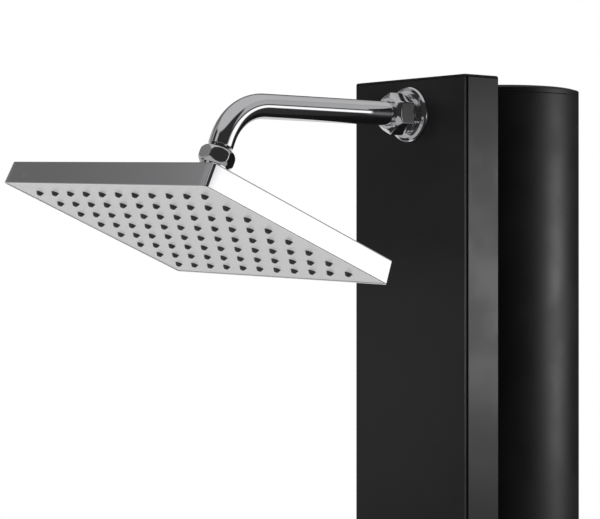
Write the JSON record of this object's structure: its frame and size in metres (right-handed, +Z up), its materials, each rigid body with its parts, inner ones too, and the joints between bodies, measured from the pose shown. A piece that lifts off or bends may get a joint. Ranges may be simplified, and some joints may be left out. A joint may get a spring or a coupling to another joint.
{
  "type": "solar outdoor shower",
  "caption": "Free-standing solar shower: dark round water tank behind a slim box column, bent chromed arm with a flat rectangular rain head, lever mixer, foot tap and drain cock.",
  "frame": {"origin": "on the ground, in the middle of the base plate's anchor holes", "axes": "+Z up along the column; the user stands at -Y, where the arm and the head reach out; the tank is at +Y; the hose inlet is on the column's -X side"},
  "size_m": [0.3158, 0.6292, 2.1701],
  "materials": {
    "black_paint": "matte",
    "tank_plastic": "satin",
    "steel": "satin",
    "rubber": "matte",
    "nozzle_rubber": "satin",
    "brass": "satin",
    "hose": "satin",
    "white_plastic": "matte",
    "grey_plastic": "satin",
    "face_plastic": "satin",
    "chrome": "polished"
  },
  "bodies": {
    "column": {"base_plate": "black_paint", "column_profile": "black_paint", "front_panel": "black_paint", "column_cap": "black_paint", "cap_screws": "steel", "shoe_screws": "steel", "tank_tube": "tank_plastic", "tank_cap": "tank_plastic", "tank_bottom_plug": "tank_plastic", "lower_saddle": "rubber", "middle_saddle": "rubber", "upper_saddle": "rubber", "saddle_screws": "steel", "inlet_nipple": "brass", "inlet_locknut": "brass", "inlet_tee": "brass", "fill_elbow": "brass", "lower_cold_hose": "hose", "foot_tee": "brass", "upper_cold_hose": "hose", "hot_outlet": "brass", "hot_hose": "hose", "mixed_hose": "hose", "hose_nuts": "brass", "mixer_body": "brass", "mixer_screws": "steel", "mixer_cartridge": "white_plastic", "cartridge_nut": "brass", "mixer_plate": "chrome", "foot_tap_flange": "chrome", "foot_tap_body": "chrome", "foot_locknut": "brass", "foot_aerator": "grey_plastic", "drain_body": "brass", "arm_flange": "chrome", "arm_nipple": "chrome", "arm_locknut": "brass", "arm_elbow": "brass", "arm_gasket": "rubber", "union_nut": "chrome", "shower_arm": "chrome", "swivel_ball": "chrome"},
    "mixer_core": {"cartridge_core": "white_plastic", "stem_pin": "steel", "mixer_dome": "chrome"},
    "mixer_handle": {"cartridge_stem": "steel", "mixer_lever": "chrome", "lever_screw": "steel", "lever_button": "grey_plastic"},
    "foot_handle": {"foot_spindle": "brass", "foot_lever": "chrome"},
    "drain_handle": {"drain_key": "brass"},
    "swivel": {"swivel_ring": "white_plastic"},
    "head": {"swivel_nut": "chrome", "swivel_body": "chrome", "head_shell": "chrome", "spray_face": "face_plastic", "nozzle_mat": "nozzle_rubber"}
  },
  "joints": [
    {"name": "head_spin", "type": "hinge", "parent": "column", "child": "swivel", "pos_m": [0, -0.3474, 2.08226], "axis": [0, 0.3746, 0.9272], "continuous": true},
    {"name": "head_tilt", "type": "hinge", "parent": "swivel", "child": "head", "pos_m": [0, -0.3474, 2.08226], "axis": [0.9993, 0, -0.0366], "range_deg": [-10, 10]},
    {"name": "mixer_turn", "type": "hinge", "parent": "column", "child": "mixer_core", "pos_m": [0, -0.1205, 1.15], "axis": [0, -1, 0], "range_deg": [-45, 45]},
    {"name": "mixer_lift", "type": "hinge", "parent": "mixer_core", "child": "mixer_handle", "pos_m": [0, -0.1205, 1.15], "axis": [-1, 0, 0], "range_deg": [0, 25]},
    {"name": "foot_tap_turn", "type": "hinge", "parent": "column", "child": "foot_handle", "pos_m": [0, -0.1545, 0.34], "axis": [0, -1, 0], "range_deg": [0, 90]},
    {"name": "drain_turn", "type": "hinge", "parent": "column", "child": "drain_handle", "pos_m": [0, 0.1225, 0.084], "axis": [0, 0, 1], "range_deg": [0, 90]}
  ]
}
